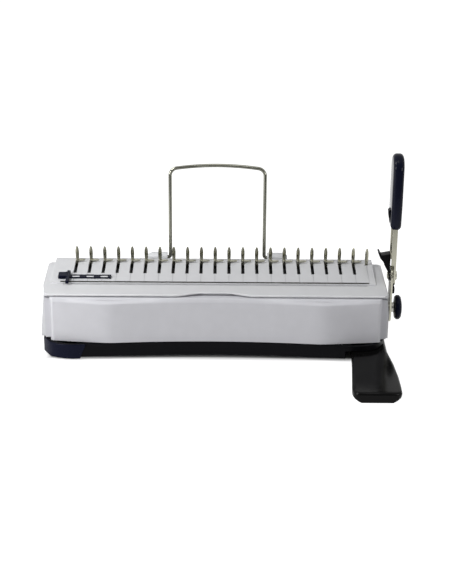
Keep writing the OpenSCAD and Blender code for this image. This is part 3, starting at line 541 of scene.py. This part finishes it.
# %% Front panel
PANEL_IN, STEPS, FINE = 2.8, 168, (0.25, 0.6, 1.2, 1.8, 2.4)
WALL_Y, WALL_SIZE = -67.5, (0.0024, 0.0125, 0.043)
FLANGE_SHIFT, FLANGE_Y, FLANGE_SIZE = 3.1, -65.0, (0.0085, 0.005, 0.0425)
columns = [-PANEL_HALF + 2 * PANEL_HALF * i / STEPS for i in range(STEPS + 1)]
columns += [side * (PANEL_HALF - d) for side in (-1, 1) for d in FINE]
columns = sorted(set(round(x, 4) for x in columns))
bm = bmesh.new()
chain = [bm.verts.new(at(columns[0] + PANEL_IN, y, z)) for y, z in panel_profile(columns[0])]
ring = [bm.edges.new((a, b)) for a, b in zip(chain, chain[1:] + chain[:1])]
bm.faces.new(reversed(chain))
for x in columns[1:]:
    made = bmesh.ops.extrude_edge_only(bm, edges=ring)["geom"]
    fresh = [v for v in made if isinstance(v, bmesh.types.BMVert)]
    edges = [e for e in made if isinstance(e, bmesh.types.BMEdge)]
    ring = [e for e in edges if e.verts[0] in fresh and e.verts[1] in fresh]
    for vert, (y, z) in zip(fresh, panel_profile(x)):
        vert.co = at(x + PANEL_IN * blend(-x, 60, PANEL_HALF), y, z)
bmesh.ops.contextual_create(bm, geom=ring)
for side in (-1, 1):
    end_x = side * (PANEL_HALF - 1.4) + (PANEL_IN if side < 0 else 0)
    add_block(bm, at(end_x, WALL_Y, 39.5), WALL_SIZE)
    add_block(bm, at(end_x + side * FLANGE_SHIFT, FLANGE_Y, 39.5), FLANGE_SIZE)
bmesh.ops.recalc_face_normals(bm, faces=bm.faces)
panel = show(piece_from(bm, "front_panel_finished", sharp=50), "front_panel")
print("front panel faces", len(panel.data.polygons))

# %% [markdown]
# ## The grip
# The handle's grip is a deep blue moulding, oval from every side, that narrows to a collar where the
# bar enters it. An outline is drawn from the side as one face, extruded to its thickness, and both
# rims get a wide bevel, which is how a shape that was sanded round by hand would be described.

# %% Grip
GRIP_HALF, SHAFT_Y, GRIP_ROUND = 14.0, -45.0, 0.0042
# share of the half width and height above the lower end
COLLAR = [(0.74, 0), (0.84, 3), (0.88, 10), (1.0, 26)]
grip_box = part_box("grip_shell")
GRIP_IN, GRIP_OUT = grip_box[0][0] * 1000 + FRAME_X, grip_box[1][0] * 1000 + FRAME_X
GRIP_LOW, GRIP_TOP = grip_box[0][2] * 1000, grip_box[1][2] * 1000
rise = [(GRIP_HALF * share, GRIP_LOW + height) for share, height in COLLAR]
arc = [(GRIP_HALF * math.cos(a), GRIP_TOP - GRIP_HALF + GRIP_HALF * math.sin(a))
       for a in [math.radians(step * 9) for step in range(21)]]
outline = rise + arc + [(-y, z) for y, z in reversed(rise)]
bm = bmesh.new()
side = bm.faces.new([bm.verts.new(at(GRIP_IN, SHAFT_Y + y, z)) for y, z in outline])
pushed = bmesh.ops.extrude_face_region(bm, geom=[side])["geom"]
far = [v for v in pushed if isinstance(v, bmesh.types.BMVert)]
bmesh.ops.translate(bm, vec=(GRIP_OUT / 1000 - GRIP_IN / 1000, 0, 0), verts=far)
rims = [e for e in bm.edges if abs(e.verts[0].co.x - e.verts[1].co.x) < 1e-7]
bmesh.ops.bevel(bm, geom=rims, offset=GRIP_ROUND, segments=7, profile=0.5, affect="EDGES",
                material=-1, clamp_overlap=True)
bmesh.ops.recalc_face_normals(bm, faces=bm.faces)
grip = show(piece_from(bm, "grip_finished", sharp=60), "grip_shell")
print("grip faces", len(grip.data.polygons))

# %% [markdown]
# ## The stabiliser foot
# The foot slides out to stop the machine from tipping when the handle is pulled. It is a hollow gloss
# moulding with a wide soft shoulder round its top. The merged solid gets that shoulder by a bevel of
# its top rim alone, so that its lower edges stay crisp.

# %% Foot
FOOT_ROUND = 0.0028
bm = merged("foot_arm")
top_z = max(v.co.z for v in bm.verts)
rim = [e for e in bm.edges if all(v.co.z > top_z - 1e-6 for v in e.verts)
       and any(f.normal.z < 0.5 for f in e.link_faces)]
bmesh.ops.bevel(bm, geom=rim, offset=FOOT_ROUND, segments=6, profile=0.5, affect="EDGES",
                material=-1, clamp_overlap=True)
foot = piece_from(bm, "foot_finished", sharp=42)
soften(foot, 0.4, segments=2, angle=42)
show(foot, "foot_arm")
print("foot rim edges", len(rim))

# %% [markdown]
# ## The lamps
# A broad lamp high on the left lights the deck, and a second low on the left brightens the corner. A
# third hangs high in front and opens the shade under the lip, and a small one at the right keeps the
# far end from going flat. The left end then reads brighter than the right. The lamps stay white, so
# colours come out about as they are written.


# %% Lamps
def lamp(name, place, aim, size, power):
    data = bpy.data.lights.new(name, "AREA")
    data.size = size
    data.energy = power
    obj = bpy.data.objects.new(name, data)
    bpy.context.scene.collection.objects.link(obj)
    obj.location = place
    obj.rotation_euler = (Vector(aim) - Vector(place)).to_track_quat("-Z", "Y").to_euler()


lamp("key", (-0.6, -0.25, 0.75), (-0.05, 0, 0.05), 0.4, 5.6)
lamp("corner", (-0.62, -0.40, 0.25), (-0.15, 0, 0.05), 0.25, 2.4)
lamp("top", (0.05, -0.75, 1.7), (0, 0, 0.05), 0.5, 2.5)
lamp("right", (0.45, -0.35, 0.2), (0.15, 0, 0.05), 0.15, 0.55)

# %% [markdown]
# ## The room
# The room is white for the camera, and dimmer as a source of light, so that the lamps keep their say.
# A mirrored ray sees the white too, except where it looks to the front: the room is darker there.
# Plated metal needs that, because in a room that is white all round it would mirror nothing but white
# and look flat.

# %% World
ROOM, WHITE, ROOM_DARK, ROOM_BRIGHT = 0.24, 1.0, -0.8, -0.3


def seen_by_rays(wires, depth, dark, bright):
    # the share of the white that a ray sees: all of it for the camera, less for a mirrored ray
    path = wires.nodes.new("ShaderNodeLightPath").outputs
    faded = remap(wires, depth, dark, bright)
    mirrored = maths(wires, "MULTIPLY", path["Is Glossy Ray"], faded)
    direct = maths(wires, "MAXIMUM", path["Is Camera Ray"], mirrored)
    return maths(wires, "MAXIMUM", direct, path["Is Transmission Ray"])


world = bpy.data.worlds.new("room")
bpy.context.scene.world = world
world.use_nodes = True
wires = world.node_tree
way = wires.nodes.new("ShaderNodeTexCoord")
parts = wires.nodes.new("ShaderNodeSeparateXYZ")
wires.links.new(way.outputs["Generated"], parts.inputs[0])
seen = seen_by_rays(wires, parts.outputs["Y"], ROOM_DARK, ROOM_BRIGHT)
sky = wires.nodes["Background"]
wires.links.new(remap(wires, seen, 0.0, 1.0, ROOM, WHITE), sky.inputs["Strength"])
sky.inputs["Color"].default_value = (1, 1, 1, 1)
print("room", ROOM, "white", WHITE)

# %% [markdown]
# ## The table
# The machine stands on a plain white sheet that runs on to the horizon. A little glow for the
# camera's own rays carries the sheet to pure white, and it keeps the machine's shadow, which tells
# the eye that the feet touch it. There is no glow under the machine itself, so that what is seen of
# the table through its gaps stays dark. The glow fades out in a narrow band round the footprint,
# where the table's real shade shows and the fade adds painted shade, like a contact shadow.

# %% Table
GLOW, GLOW_DARK, GLOW_BRIGHT, SHADE_BAND = 0.92, -0.42, -0.20, 0.012
FOOTPRINT = {"X": (-0.0074, 0.163), "Y": (0.0497, 0.074)}
bpy.ops.mesh.primitive_plane_add(size=30, location=(0, 0, -0.0002))
table = bpy.context.object
table.name = "table"
SHEET = finish("white_sheet", (0.50, 0.50, 0.50), 0.9, spread=0.01, tint=0.0, shine_level=0.0)
wires = SHEET.node_tree
ground = wires.nodes.new("ShaderNodeTexCoord")
split = wires.nodes.new("ShaderNodeSeparateXYZ")
wires.links.new(ground.outputs["Object"], split.inputs[0])
# painted shade: the glow fades out over a narrow band round the footprint, darkening the table there
# like a contact shadow
unshaded_share = None
for axis, (middle, reach) in FOOTPRINT.items():
    off = maths(wires, "ABSOLUTE", maths(wires, "SUBTRACT", split.outputs[axis], middle))
    clear = remap(wires, off, reach, reach + SHADE_BAND)
    unshaded_share = maths(wires, "MAXIMUM", unshaded_share, clear) if unshaded_share else clear
seen = seen_by_rays(wires, split.outputs["Y"], GLOW_DARK, GLOW_BRIGHT)
glow = maths(wires, "MULTIPLY", maths(wires, "MULTIPLY", seen, unshaded_share), GLOW)
shader = wires.nodes["Principled BSDF"]
wires.links.new(glow, shader.inputs["Emission Strength"])
shader.inputs["Emission Color"].default_value = (1, 1, 1, 1)
table.data.materials.append(SHEET)
print("table set")
